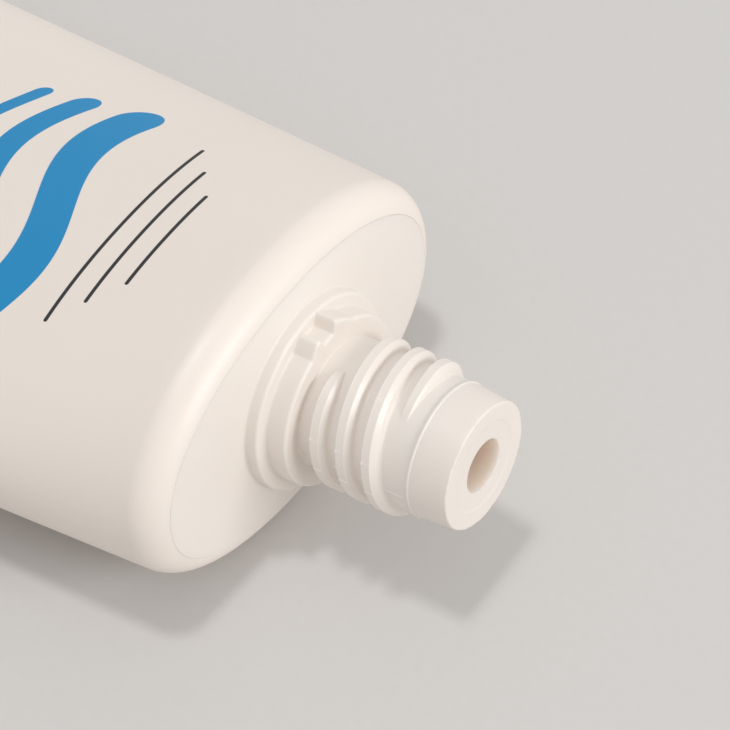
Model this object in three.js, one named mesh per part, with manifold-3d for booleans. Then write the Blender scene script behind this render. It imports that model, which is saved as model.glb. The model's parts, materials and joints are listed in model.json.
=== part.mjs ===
// Oval squeeze tube for cream, lying on its broad side with its threaded nozzle bare.
// Millimetres. Inside the tube's own group +X runs along the neck to the nozzle tip, Y across
// the broad side and Z through the thickness; X = 0 is the root of the flange on the shoulder.
import * as THREE from 'three';
import { mergeVertices } from 'three/addons/utils/BufferGeometryUtils.js';
import Module from 'manifold-3d';

const wasm = await Module();
wasm.setup();

// Sleeve: thin plastic sheath, oval at the shoulder and pressed flat at the tail.
const SLEEVE_WIDTH = 44.8;
const SLEEVE_THICKNESS = 28.4;
const SLEEVE_WALL = 0.6;
const SLEEVE_LENGTH = 102;
const OVAL_POWER = 2.1;
const SHOULDER_ROUND = 3.4;
const LIP_INSET = 2.4;
const SEAL_LENGTH = 7;
const SEAL_EDGE_SLOPE = 8;
const SEAL_BLEND_POWER = 8;
const CAVITY_END_HEIGHT = 0.4;

// Head: oval shoulder plate with a skirt inside the sleeve, flange, collar and neck.
const SHOULDER_RISE = 0.65;
const SHOULDER_FLOOR = 1.6;
const SKIRT_LENGTH = 3;
const SKIRT_WALL = 1.2;
const FLANGE_DIAMETER = 19.3;
const FLANGE_HEIGHT = 1.3;
const COLLAR_DIAMETER = 16.7;
const COLLAR_HEIGHT = 2.15;
const NECK_DIAMETER = 12.7;
const NECK_LENGTH = 11.1;
const NECK_WALL = 1.3;
const NECK_ROOT_ROUND = 0.3;
const EDGE_ROUND = 0.35;

// Cap thread on the neck: right-handed ridge, steep behind and sloped in front.
const THREAD_HEIGHT = 1;
const THREAD_PITCH = 2.75;
const THREAD_CREST = 0.85;
const THREAD_REAR_FLANK = 0.15;
const THREAD_FRONT_FLANK = 0.8;
const THREAD_FLANK_FULLNESS = 0.75;
const THREAD_CLEAR = 1.3;
const MOUTH_LAND = 0.1;
const THREAD_START_ANGLE = THREE.MathUtils.degToRad(105);
const START_RUNOUT = THREE.MathUtils.degToRad(35);
const END_RUNOUT = THREE.MathUtils.degToRad(50);
const RUNOUT_WIDTH = 0.35;

// Lugs on the collar that turn the cap to its last position: a ramp, then a stop.
const RAMP_HEIGHT = 0.95;
const RAMP_FOOT_ANGLE = THREE.MathUtils.degToRad(107.8);
const RAMP_TOP_ANGLE = THREE.MathUtils.degToRad(99.4);
const RAMP_END_ANGLE = THREE.MathUtils.degToRad(96.5);
const STOP_HEIGHT = 1.2;
const STOP_FOOT_ANGLE = THREE.MathUtils.degToRad(84.8);
const STOP_TOP_ANGLE = THREE.MathUtils.degToRad(82.2);
const STOP_END_ANGLE = THREE.MathUtils.degToRad(66);
const LUG_SETBACK = 0.2;

// Nozzle insert: press-in plug that narrows the neck to the orifice.
const NOZZLE_LENGTH = 4.05;
const NOZZLE_TIP_DIAMETER = 12.24;
const NOZZLE_EDGE_BREAK = 0.1;
const BEAD_DIAMETER = 13;
const BEAD_WIDTH = 0.34;
const BEAD_HEIGHT = 0.11;
const ORIFICE_DIAMETER = 5.2;
const PLUG_LENGTH = 6;
const PLUG_WALL = 1;
const PLUG_CHAMFER = 0.5;

// Clearance left between the three pieces, and the depth that joined forms share.
const FIT_GAP = 0.3;
const OVERLAP = 0.4;

// Facets around the oval, around the turned forms and along one turn of the thread.
const OVAL_SIDES = 48;
const ROUND_SIDES = 48;
const THREAD_STEPS = 24;
const BODY_STEPS = 10;
const ARC_STEPS = 5;

// Halvings in the search for the pressed width, and how close two vertices are to count as one.
const SEARCH_STEPS = 40;
const MERGE_DISTANCE = 1e-4;

// Satin white plastics, the sleeve a little darker than the moulded pieces.
const SLEEVE_FINISH = { color: '#f3ebe2', roughness: 0.38, metalness: 0 };
const HEAD_FINISH = { color: '#f8f1e9', roughness: 0.34, metalness: 0 };
const INSERT_FINISH = { color: '#f6eee5', roughness: 0.36, metalness: 0 };

const QUARTER_TURN = Math.PI / 2;

// Places along X that the pieces share.
const halfWidth = SLEEVE_WIDTH / 2;
const halfThickness = SLEEVE_THICKNESS / 2;
const lipAngle = Math.acos(1 - LIP_INSET / SHOULDER_ROUND);
const seamX = -SHOULDER_RISE;
const wallStartX = seamX - SHOULDER_ROUND * Math.sin(lipAngle);
const sealStartX = seamX - SLEEVE_LENGTH;
const tailX = sealStartX - SEAL_LENGTH;
const collarX = FLANGE_HEIGHT;
const collarFrontX = collarX + COLLAR_HEIGHT;
const mouthX = collarFrontX + NECK_LENGTH;
const flangeRadius = FLANGE_DIAMETER / 2;
const collarRadius = COLLAR_DIAMETER / 2;
const neckRadius = NECK_DIAMETER / 2;
const boreRadius = neckRadius - NECK_WALL;

// Perimeter of an ellipse by Ramanujan's first formula.
function ellipsePerimeter(a, b) {
  return Math.PI * (3 * (a + b) - Math.sqrt((3 * a + b) * (a + 3 * b)));
}

// Half width of the sleeve where it is pressed to half thickness b: its perimeter can't stretch.
function pressedHalfWidth(b) {
  const perimeter = ellipsePerimeter(halfWidth, halfThickness);
  let low = b;
  let high = perimeter / 4;
  for (let i = 0; i < SEARCH_STEPS; i += 1) {
    const middle = (low + high) / 2;
    if (ellipsePerimeter(middle, b) < perimeter) low = middle;
    else high = middle;
  }
  return (low + high) / 2;
}

function signedPower(value, power) {
  return Math.sign(value) * Math.abs(value) ** power;
}

// One section of the sleeve across X, its outline moved inward by inset: a fuller ellipse that
// turns into a flat strip with thin edges where it nears the seal.
function sleeveRing(x, inset) {
  const share = THREE.MathUtils.clamp((wallStartX - x) / (wallStartX - sealStartX), 0, 1);
  const b = THREE.MathUtils.lerp(halfThickness, SLEEVE_WALL, share);
  const a = pressedHalfWidth(b);
  const ring = [];
  for (let i = 0; i < OVAL_SIDES; i += 1) {
    const angle = (i / OVAL_SIDES) * 2 * Math.PI;
    const y = signedPower(Math.cos(angle), 2 / OVAL_POWER);
    const round = signedPower(Math.sin(angle), 2 / OVAL_POWER);
    const flat = THREE.MathUtils.clamp(SEAL_EDGE_SLOPE * Math.sin(angle), -1, 1);
    const z = THREE.MathUtils.lerp(round, flat, share ** SEAL_BLEND_POWER);
    ring.push(new THREE.Vector3(x, (a - inset) * y, (b - inset) * z));
  }
  return ring;
}

// Rings up the rounded shoulder edge, on a surface that lies depth below the outer skin.
function shoulderEdgeRings(depth) {
  const rings = [];
  const radius = SHOULDER_ROUND - depth;
  for (let i = 0; i <= ARC_STEPS; i += 1) {
    const angle = (i / ARC_STEPS) * lipAngle;
    const x = wallStartX + radius * Math.sin(angle);
    rings.push(sleeveRing(x, SHOULDER_ROUND - radius * Math.cos(angle)));
  }
  return rings;
}

// Round ring of the same point count as the oval ones.
function circleRing(x, radius) {
  const ring = [];
  for (let i = 0; i < OVAL_SIDES; i += 1) {
    const angle = (i / OVAL_SIDES) * 2 * Math.PI;
    ring.push(new THREE.Vector3(x, radius * Math.cos(angle), radius * Math.sin(angle)));
  }
  return ring;
}

// Closed skin over a row of rings, with a flat cap on the first and the last.
function loft(rings) {
  const sides = rings[0].length;
  const indices = [];
  for (let i = 0; i + 1 < rings.length; i += 1) {
    for (let j = 0; j < sides; j += 1) {
      const near = i * sides;
      const far = near + sides;
      const next = (j + 1) % sides;
      indices.push(near + j, near + next, far + next);
      indices.push(near + j, far + next, far + j);
    }
  }
  const last = (rings.length - 1) * sides;
  const half = sides / 2;
  const addCaps = (a, b, c) => indices.push(c, b, a, last + a, last + b, last + c);
  for (let j = 0; j < half; j += 1) {
    const mirror = (sides - j) % sides;
    const nextMirror = sides - j - 1;
    if (j > 0) addCaps(j, j + 1, mirror);
    if (j + 1 < half) addCaps(j + 1, nextMirror, mirror);
  }
  const geometry = new THREE.BufferGeometry();
  const positions = rings.flat().flatMap((point) => point.toArray());
  geometry.setAttribute('position', new THREE.Float32BufferAttribute(positions, 3));
  geometry.setIndex(indices);
  return geometry;
}

// Turned form about X from an outline of [x, radius] pairs that runs forward along its outside.
function turned(outline) {
  const points = outline.map(([x, radius]) => new THREE.Vector2(radius, x));
  return new THREE.LatheGeometry(points, ROUND_SIDES).rotateZ(-QUARTER_TURN);
}

// Points of a quarter round on an outline, from one angle to the other about its centre.
function arc(x, radius, size, from, to) {
  const points = [];
  for (let i = 0; i <= ARC_STEPS; i += 1) {
    const angle = THREE.MathUtils.lerp(from, to, i / ARC_STEPS);
    points.push([x + size * Math.cos(angle), radius + size * Math.sin(angle)]);
  }
  return points;
}

function toSolid(geometry) {
  const bare = geometry.clone();
  bare.deleteAttribute('normal');
  bare.deleteAttribute('uv');
  const merged = mergeVertices(bare, MERGE_DISTANCE);
  const vertProperties = new Float32Array(merged.attributes.position.array);
  const triVerts = new Uint32Array(merged.index.array);
  return new wasm.Manifold(new wasm.Mesh({ numProp: 3, vertProperties, triVerts }));
}

function toGeometry(solid) {
  const { vertProperties, triVerts } = solid.getMesh();
  const geometry = new THREE.BufferGeometry();
  geometry.setAttribute('position', new THREE.BufferAttribute(vertProperties, 3));
  geometry.setIndex(new THREE.BufferAttribute(triVerts, 1));
  geometry.computeVertexNormals();
  return geometry;
}

// Sleeve skin from the seal edge up to the lip, then down inside to where the seal closes it.
function sleeveGeometry() {
  const cavityShare = 1 - CAVITY_END_HEIGHT / 2 / (halfThickness - SLEEVE_WALL);
  const cavityEndX = THREE.MathUtils.lerp(wallStartX, sealStartX, cavityShare);
  const rings = [sleeveRing(tailX, 0)];
  for (let i = 0; i < BODY_STEPS; i += 1) {
    rings.push(sleeveRing(THREE.MathUtils.lerp(sealStartX, wallStartX, i / BODY_STEPS), 0));
  }
  rings.push(...shoulderEdgeRings(0));
  rings.push(...shoulderEdgeRings(SLEEVE_WALL).reverse());
  for (let i = 1; i <= BODY_STEPS; i += 1) {
    rings.push(sleeveRing(THREE.MathUtils.lerp(wallStartX, cavityEndX, i / BODY_STEPS), SLEEVE_WALL));
  }
  return loft(rings);
}

// Shoulder plate: oval cup under the sleeve's lip, its face rising gently to the flange.
function shoulderPlate() {
  const depth = SLEEVE_WALL + FIT_GAP;
  const skirtEndX = wallStartX - SKIRT_LENGTH;
  const floorX = seamX - SHOULDER_FLOOR;
  const innerDepth = depth + SKIRT_WALL;
  return loft([
    sleeveRing(floorX, innerDepth + LIP_INSET),
    sleeveRing(wallStartX, innerDepth),
    sleeveRing(skirtEndX, innerDepth),
    sleeveRing(skirtEndX, depth),
    ...shoulderEdgeRings(depth),
    sleeveRing(seamX, LIP_INSET + FIT_GAP),
    circleRing(0, flangeRadius),
  ]);
}

// Flange, collar and neck as one turned form with softened front edges.
function neckForm() {
  return turned([
    [-OVERLAP, 0],
    [-OVERLAP, flangeRadius - OVERLAP],
    [0, flangeRadius],
    ...arc(collarX - EDGE_ROUND, flangeRadius - EDGE_ROUND, EDGE_ROUND, QUARTER_TURN, 0),
    [collarX, collarRadius],
    ...arc(collarFrontX - EDGE_ROUND, collarRadius - EDGE_ROUND, EDGE_ROUND, QUARTER_TURN, 0),
    ...arc(
      collarFrontX + NECK_ROOT_ROUND,
      neckRadius + NECK_ROOT_ROUND,
      NECK_ROOT_ROUND,
      2 * QUARTER_TURN,
      3 * QUARTER_TURN,
    ),
    [mouthX, neckRadius],
    [mouthX, 0],
  ]);
}

// Section of the thread at one angle. Width and height shrink together in the run-outs.
function threadRing(angle, rearX, size) {
  const width = THREE.MathUtils.lerp(RUNOUT_WIDTH, 1, size);
  const crest = neckRadius - OVERLAP + (OVERLAP + THREAD_HEIGHT) * size;
  const root = neckRadius - 2 * OVERLAP;
  const rearFlank = THREAD_REAR_FLANK * width;
  const crestEnd = rearFlank + THREAD_CREST * width;
  const frontEnd = crestEnd + THREAD_FRONT_FLANK * width;
  const flankMiddle = (crestEnd + frontEnd) / 2;
  const shoulder = THREE.MathUtils.lerp(root, crest, THREAD_FLANK_FULLNESS);
  const section = [
    [frontEnd, root],
    [flankMiddle, shoulder],
    [crestEnd, crest],
    [rearFlank, crest],
    [0, root],
    [crestEnd, root],
  ];
  return section.map(
    ([x, radius]) => new THREE.Vector3(rearX + x, radius * Math.cos(angle), radius * Math.sin(angle)),
  );
}

function capThread() {
  const base = THREAD_REAR_FLANK + THREAD_CREST + THREAD_FRONT_FLANK;
  const fullTravel = NECK_LENGTH - THREAD_CLEAR - base - MOUTH_LAND;
  const sweep = (fullTravel / THREAD_PITCH) * 2 * Math.PI + END_RUNOUT;
  const steps = Math.ceil((sweep / (2 * Math.PI)) * THREAD_STEPS);
  const rings = [];
  for (let i = 0; i <= steps; i += 1) {
    const turn = (i / steps) * sweep;
    const size = Math.min(1, turn / START_RUNOUT, (sweep - turn) / END_RUNOUT);
    const rearX = collarFrontX + THREAD_CLEAR + (turn / (2 * Math.PI)) * THREAD_PITCH;
    rings.push(threadRing(THREAD_START_ANGLE + turn, rearX, size));
  }
  return loft(rings);
}

// Lug on the collar from an outline of [angle, height above the collar] pairs.
function collarLug(outline) {
  const shape = new THREE.Shape(
    outline.map(([angle, height]) => {
      const radius = collarRadius + height;
      return new THREE.Vector2(radius * Math.cos(angle), radius * Math.sin(angle));
    }),
  );
  const depth = COLLAR_HEIGHT - LUG_SETBACK + OVERLAP;
  const lug = new THREE.ExtrudeGeometry(shape, { depth, bevelEnabled: false });
  const axes = new THREE.Matrix4().makeBasis(
    new THREE.Vector3(0, 1, 0),
    new THREE.Vector3(0, 0, 1),
    new THREE.Vector3(1, 0, 0),
  );
  return lug.applyMatrix4(axes).translate(collarX - OVERLAP, 0, 0);
}

function headGeometry() {
  const ramp = collarLug([
    [RAMP_END_ANGLE, -OVERLAP],
    [RAMP_END_ANGLE, RAMP_HEIGHT],
    [RAMP_TOP_ANGLE, RAMP_HEIGHT],
    [RAMP_FOOT_ANGLE, 0],
    [RAMP_FOOT_ANGLE, -OVERLAP],
  ]);
  const stop = collarLug([
    [STOP_END_ANGLE, -OVERLAP],
    [STOP_END_ANGLE, STOP_HEIGHT],
    [(STOP_END_ANGLE + STOP_TOP_ANGLE) / 2, STOP_HEIGHT],
    [STOP_TOP_ANGLE, STOP_HEIGHT],
    [STOP_FOOT_ANGLE, 0],
    [STOP_FOOT_ANGLE, -OVERLAP],
  ]);
  const boreStartX = seamX - SHOULDER_FLOOR - OVERLAP;
  const bore = turned([
    [boreStartX, 0],
    [boreStartX, boreRadius],
    [mouthX + OVERLAP, boreRadius],
    [mouthX + OVERLAP, 0],
  ]);
  let head = toSolid(shoulderPlate()).add(toSolid(neckForm()));
  for (const form of [capThread(), ramp, stop]) head = head.add(toSolid(form));
  return toGeometry(head.subtract(toSolid(bore)));
}

// Nozzle insert: stubby cone with a bead round its base, plug behind it, orifice along both.
function insertGeometry() {
  const baseX = mouthX + FIT_GAP;
  const tipX = baseX + NOZZLE_LENGTH;
  const beadEndX = baseX + BEAD_WIDTH;
  const plugEndX = baseX - PLUG_LENGTH;
  const beadRadius = BEAD_DIAMETER / 2;
  const tipRadius = NOZZLE_TIP_DIAMETER / 2;
  const plugRadius = boreRadius - FIT_GAP;
  const orificeRadius = ORIFICE_DIAMETER / 2;
  return turned([
    [baseX, orificeRadius],
    [baseX, plugRadius - PLUG_WALL],
    [plugEndX, plugRadius - PLUG_WALL],
    [plugEndX, plugRadius - PLUG_CHAMFER],
    [plugEndX + PLUG_CHAMFER, plugRadius],
    [baseX, plugRadius],
    [baseX, beadRadius - NOZZLE_EDGE_BREAK],
    [baseX + NOZZLE_EDGE_BREAK, beadRadius],
    [beadEndX - BEAD_HEIGHT, beadRadius],
    [beadEndX, beadRadius - BEAD_HEIGHT],
    [tipX - NOZZLE_EDGE_BREAK, tipRadius],
    [tipX, tipRadius - NOZZLE_EDGE_BREAK],
    [tipX, orificeRadius],
    [baseX, orificeRadius],
  ]);
}

function piece(name, geometry, finish) {
  const mesh = new THREE.Mesh(geometry, new THREE.MeshStandardMaterial(finish));
  mesh.name = name;
  return mesh;
}

const tube = new THREE.Group();
tube.add(piece('tube_sleeve', sleeveGeometry(), SLEEVE_FINISH));
tube.add(piece('shoulder_head', headGeometry(), HEAD_FINISH));
tube.add(piece('nozzle_insert', insertGeometry(), INSERT_FINISH));

// The tube rests on the shoulder's lowest edge and on the seal, so its nose points up a little.
tube.rotation.y = -Math.atan2(halfThickness - SLEEVE_WALL, wallStartX - tailX);
const bounds = new THREE.Box3().setFromObject(tube, true);
const middle = bounds.getCenter(new THREE.Vector3());
tube.position.set(-middle.x, -middle.y, -bounds.min.z);

const part = new THREE.Group();
part.add(tube);

export default part;
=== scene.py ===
"""Cosmetic tube: an oval squeeze tube lying on its broad side with its screw neck bare.

Laid out as an add-on: settings, an operator for each piece and for the stage, and a panel.
The tube's own axes are X along the neck to the nozzle tip, Y across the oval and Z through it,
with X = 0 at the root of the flange. Lengths are metres.
"""

import json
import math
from collections import namedtuple
from functools import reduce

import bmesh
import bpy
from bpy.props import FloatProperty, FloatVectorProperty, IntProperty, PointerProperty
from mathutils import Matrix, Vector


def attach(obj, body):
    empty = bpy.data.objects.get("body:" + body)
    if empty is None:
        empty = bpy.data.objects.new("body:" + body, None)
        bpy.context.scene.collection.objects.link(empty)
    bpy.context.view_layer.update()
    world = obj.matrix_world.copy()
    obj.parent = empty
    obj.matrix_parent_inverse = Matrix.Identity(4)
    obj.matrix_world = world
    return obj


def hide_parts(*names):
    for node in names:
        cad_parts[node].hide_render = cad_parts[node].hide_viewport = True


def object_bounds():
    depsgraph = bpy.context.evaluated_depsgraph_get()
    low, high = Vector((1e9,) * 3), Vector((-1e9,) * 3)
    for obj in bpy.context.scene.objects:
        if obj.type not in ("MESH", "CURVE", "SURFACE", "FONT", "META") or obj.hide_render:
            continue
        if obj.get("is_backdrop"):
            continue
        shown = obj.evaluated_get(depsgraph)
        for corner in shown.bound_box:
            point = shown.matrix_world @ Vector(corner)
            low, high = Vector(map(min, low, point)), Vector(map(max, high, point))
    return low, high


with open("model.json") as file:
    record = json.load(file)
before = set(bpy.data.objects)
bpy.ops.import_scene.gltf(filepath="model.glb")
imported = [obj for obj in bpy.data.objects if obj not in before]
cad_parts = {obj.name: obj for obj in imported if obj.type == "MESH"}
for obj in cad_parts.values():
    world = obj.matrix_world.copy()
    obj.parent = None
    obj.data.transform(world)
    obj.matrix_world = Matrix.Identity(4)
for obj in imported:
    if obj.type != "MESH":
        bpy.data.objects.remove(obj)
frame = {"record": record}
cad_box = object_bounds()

bl_info = {
    "name": "Cosmetic tube",
    "version": (1, 0, 0),
    "blender": (4, 5, 0),
    "location": "View3D > Sidebar > Tube",
    "description": "Builds an oval squeeze tube with a threaded neck, and the stage it lies on",
    "category": "Object",
}

MM = 0.001
FULL_TURN = 2 * math.pi
QUARTER_TURN = math.pi / 2
BODY = "root"

# Points closer than this are one point.
MERGE_DISTANCE = 0.0002 * MM

# How finely the skins are divided.
SLEEVE_COLUMNS = 240
SLEEVE_ROWS = 64
SHOULDER_ROWS = 24
INNER_SHOULDER_ROWS = 12
INSIDE_ROWS = 20
SEAL_ROWS = 4
ROUND_STEPS = 5
ROUND_SUPPORT = 0.03 * MM
HEAD_COLUMN_DEGREES = 2.0
LUG_COLUMN_DEGREES = 0.5
LINE_COLUMN_DEGREES = 0.3
TURN_DIGITS = 3
NOZZLE_COLUMNS = 288
FACE_SHARES = (0.04, 0.12, 0.25, 0.4, 0.55, 0.7, 0.85, 0.95)

# The oval turns into a flat strip close to the seal: how steep its edges are, and how late it turns.
SEAL_EDGE_SLOPE = 8
SEAL_BLEND_POWER = 8
HALVINGS = 40

# Half height at which the cavity ends in the weld, and how far down the sides count as upper side.
CAVITY_END = 0.2 * MM
UPPER_SIDE = -0.2

# Ribs of the weld: share of the weld's length and of their pitch that they take, and their height.
RIB_LENGTH_SHARE = 0.94
RIB_WIDTH_SHARE = 0.75
RIB_HEIGHT = 0.14 * MM
RIB_SEGMENTS = 12
RIB_RINGS = 7

# Rounds of the ridge's section, the fine lip left on its rear edge, and the point where its
# front flank turns steep.
RIDGE_FOOT_ROUND = 0.06 * MM
RIDGE_REAR_ROUND = 0.05 * MM
RIDGE_LIP = 0.03 * MM
RIDGE_FRONT_ROUND = 0.08 * MM
RIDGE_SLOPE_ROUND = 0.3 * MM
RIDGE_HOLLOW_ROUND = 0.28 * MM
RIDGE_SLOPE_SHARE = 0.7
RIDGE_SLOPE_HEIGHT = 0.55

# Flaws of the mould: its parting line on crests and roots, a nick at the rear edge of each
# crest at one turn, and a tick on the last full crest.
LINE_TURN = math.radians(2)
LEVEL_SHARE = 0.02
NICK_TURN = math.radians(157.5)
NICK_SPREAD = math.radians(1.8)
NICK_LENGTH = 0.2 * MM
NICK_SIZE = 1.8
TICK_TURN = math.radians(111)
TICK_STRIP = 2

# Rim of the neck's mouth, and the fine line left under the nozzle.
MOUTH_ROUND = 0.03 * MM
MOUTH_LINE = 0.02 * MM

# Run of the dish's step for its depth, and the waves round the tip that its wear follows.
DISH_SLOPE = 2
WEAR_WAVES = ((5, 0.4), (13, 1.9), (29, 0.7), (47, 2.6))
WEAR_MIDDLE = 0.5

# Noises in the plastic, as scale and detail: broad clouds, fine grain and handling marks.
CLOUDS = (55.0, 3.0)
GRAIN = (2600.0, 2.0)
MARKS = (240.0, 6.0)
NOISE_MIDDLE = 0.5
CLOUD_DEPTH = 0.035
WARMTH = (1.0, 1.25, 1.5)
GRAIN_DISTANCE = 0.004 * MM
RIPPLE_DISTANCE = 0.03 * MM
ROUGHNESS_SPREAD = 0.1
GLOW_COLOUR = (1.0, 0.86, 0.74)

# Printed design, in millimetres on the sleeve: across the crown, and back from the seam.
PRINT_UNIT = 1 / MM
PRINT_EDGE = 0.06
PRINT_GLOSS = 0.06
WAVE_LENGTH = 30.0
WAVE_HEIGHT = 2.2
WAVE_SPAN = 13.0
WAVES = ((26.0, 2.3, 0.0), (33.5, 1.5, 0.5), (39.5, 0.9, 1.0))
RULES = ((13.0, 6.0, 0.2), (15.5, 9.0, 0.2), (18.0, 12.0, 0.2))

# Paper of the floor: its fibres as noise scale and detail, their depth in its colour, and its sheen.
FIBRES = (900.0, 4.0)
FIBRE_DEPTH = 0.03
FLOOR_ROUGHNESS = 0.75
FLOOR_ROUGHNESS_SPREAD = 0.1
FLOOR_SPECULAR = 0.2

# Where the lights stand: directions from the tube, and the soft light's size and distance.
KEY_FROM = Vector((-0.115, -0.06, 0.99))
KEY_SPREAD = math.radians(7)
SIDE_FROM = Vector((0.84, 0.12, 0.45))
SIDE_DISTANCE = 1.2
SIDE_WIDTH = 0.6
SIDE_HEIGHT = 0.3
FILL_COLOUR = (1.0, 1.0, 1.0)
SHOWN_WORLD = (0.8, 0.79, 0.775)


def setting(kind, convert=None, **options):
    """Function that makes a property of one kind from its name, description and default."""

    def make(name, description, value):
        default = convert(value) if convert else value
        return kind(name=name, description=description, default=default, **options)

    return make


length = setting(FloatProperty, lambda millimetres: millimetres * MM, precision=5, unit="LENGTH")
angle = setting(FloatProperty, math.radians, unit="ROTATION")
factor = setting(FloatProperty, subtype="FACTOR")
focal_length = setting(FloatProperty, subtype="DISTANCE_CAMERA")
amount = setting(IntProperty, min=1)
position = setting(FloatVectorProperty, size=3, subtype="TRANSLATION", unit="LENGTH")
colour = setting(FloatVectorProperty, size=3, min=0, max=1, subtype="COLOR")


def group(kind, name):
    return PointerProperty(type=kind, name=name, description=f"{name} settings")


class TubeSleeveSettings(bpy.types.PropertyGroup):
    """Sizes and colours of the soft sleeve and its print."""

    width: length("Width", "Across the oval at the shoulder", 44.8)
    thickness: length("Thickness", "Through the oval at the shoulder", 28.4)
    wall: length("Wall", "Thickness of the sleeve's wall", 0.6)
    body_length: length("Body length", "From the shoulder's seam to the seal", 102)
    fullness: factor("Fullness", "Power of the oval: 2 is an ellipse, more is squarer", 2.1)
    edge_round: length("Edge round", "Radius of the rounded shoulder edge", 3.4)
    lip_inset: length("Lip inset", "How far the lip turns in over the head", 2.4)
    lip_round: length("Lip round", "Radius on the edge of the lip", 0.06)
    seal_length: length("Seal length", "Length of the flat weld at the tail", 7)
    seal_edge: length("Seal edge", "Radius on the cut edge of the weld", 0.25)
    rib_count: amount("Ribs", "Ribs pressed across the weld", 44)
    rib_pitch: length("Rib pitch", "From one rib of the weld to the next", 1.25)
    plastic: colour("Plastic", "Colour of the sleeve", (0.9, 0.813, 0.742))
    print_bright: colour("Bright print", "Colour of the printed waves", (0.002, 0.262, 0.56))
    print_dark: colour("Dark print", "Colour of the printed rules", (0.02, 0.022, 0.026))


class TubeHeadSettings(bpy.types.PropertyGroup):
    """Sizes and colour of the moulded head."""

    face_rise: length("Face rise", "From the seam up to the root of the flange", 0.65)
    plate_floor: length("Plate floor", "Thickness of the shoulder plate", 1.6)
    skirt_length: length("Skirt length", "Skirt that holds the head in the sleeve", 3)
    skirt_wall: length("Skirt wall", "Thickness of the skirt", 1.2)
    seam_gap: length("Seam gap", "Width of the fine line between lip and plate", 0.025)
    flange_diameter: length("Flange diameter", "Low disc on the shoulder", 19.3)
    flange_height: length("Flange height", "Height of the low disc", 1.3)
    collar_diameter: length("Collar diameter", "Collar that the cap closes on", 16.7)
    collar_height: length("Collar height", "Height of the collar", 2.15)
    neck_diameter: length("Neck diameter", "Core of the thread", 12.7)
    neck_length: length("Neck length", "From the collar to the mouth", 11.1)
    neck_wall: length("Neck wall", "Thickness of the neck's wall", 1.3)
    edge_round: length("Edge round", "Radius on the front edges", 0.3)
    root_round: length("Root round", "Radius in the inner corners", 0.2)
    thread_height: length("Thread height", "How far the ridge stands off the neck", 1)
    thread_pitch: length("Thread pitch", "From one ridge to the next", 2.75)
    thread_starts: amount("Thread starts", "Ridges that wind side by side", 2)
    thread_crest: length("Thread crest", "Width of the ridge's flat top", 0.85)
    thread_rear: length("Rear flank", "Length of the steep rear flank", 0.1)
    thread_front: length("Front flank", "Length of the rounded front flank", 0.56)
    thread_clear: length("Thread clear", "From the collar to where the ridges start", 0.79)
    thread_land: length("Land", "Plain neck left in front of the ridges", 1.04)
    thread_start: angle("Thread start", "Where the first ridge starts", 99)
    start_runout: angle("Start run-out", "Turn over which a ridge grows", 30)
    end_runout: angle("End run-out", "Turn over which a ridge fades", 50)
    runout_width: factor("Run-out width", "Crest width left at a ridge's ends", 0.8)
    start_shift: length("Start shift", "How far a ridge's start is set forward", 0.6)
    end_shift: length("End shift", "How far a ridge's end is set back", 0.3)
    level_turn: angle("Level turn", "Turn over which a ridge's ends run level", 72)
    ramp_height: length("Ramp height", "Height of the ramp on the collar", 0.95)
    ramp_foot: angle("Ramp foot", "Where the ramp starts", 107.8)
    ramp_top: angle("Ramp top", "Where the ramp reaches its height", 99.4)
    ramp_end: angle("Ramp end", "Where the ramp drops", 96.5)
    stop_height: length("Stop height", "Height of the stop on the collar", 1.2)
    stop_foot: angle("Stop foot", "Where the stop's face starts", 84.8)
    stop_top: angle("Stop top", "Where the stop reaches its height", 82.2)
    stop_end: angle("Stop end", "Where the stop starts to fall", 81.8)
    stop_fall: angle("Stop fall", "Turn over which the stop falls", 19)
    ramp_drop: angle("Ramp drop", "Turn over which the ramp drops", 1.2)
    lug_round: angle("Lug round", "Turn over which a lug's corners are rounded", 0.5)
    line_height: length("Mould line", "Height of the mould's parting line", 0.08)
    line_turn: angle("Mould line turn", "Half width of the parting line", 0.9)
    plastic: colour("Plastic", "Colour of the head", (0.875, 0.81, 0.75))


class TubeNozzleSettings(bpy.types.PropertyGroup):
    """Sizes and colour of the nozzle insert."""

    seat_gap: length("Seat gap", "From the neck's mouth to the nozzle's base", 0.3)
    stub_length: length("Stub length", "From the base to the tip", 4.05)
    base_diameter: length("Base diameter", "Stub at its base", 13)
    tip_diameter: length("Tip diameter", "Stub at its tip", 12.24)
    bead_width: length("Bead width", "Bead round the base", 0.34)
    bead_height: length("Bead height", "How far the bead stands off the stub", 0.11)
    bead_round: length("Bead round", "Radius on the bead's edges", 0.12)
    tip_round: length("Tip round", "Radius on the tip's edge", 0.09)
    orifice_diameter: length("Orifice diameter", "Hole that the cream leaves by", 5.2)
    orifice_round: length("Orifice round", "Radius on the hole's edge", 0.05)
    dish_diameter: length("Dish diameter", "Shallow dish in the front face", 8.7)
    dish_depth: length("Dish depth", "Depth of the shallow dish", 0.08)
    dish_edge: length("Dish edge", "Depth of the step at the dish's edge", 0.06)
    tip_wear: length("Tip wear", "How uneven the tip's edge is", 0.12)
    plug_length: length("Plug length", "Plug pressed into the neck", 6)
    plug_wall: length("Plug wall", "Thickness of the plug's wall", 1)
    plug_gap: length("Plug gap", "Room between plug and bore", 0.3)
    plastic: colour("Plastic", "Colour of the insert", (0.87, 0.8, 0.74))
    # The orifice's wall is coloured brighter and warmer than the insert's plastic: painted light in
    # the shaded hole.
    orifice_painted_light: colour("Orifice plastic", "Colour of the orifice's wall", (0.98, 0.81, 0.73))


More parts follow.
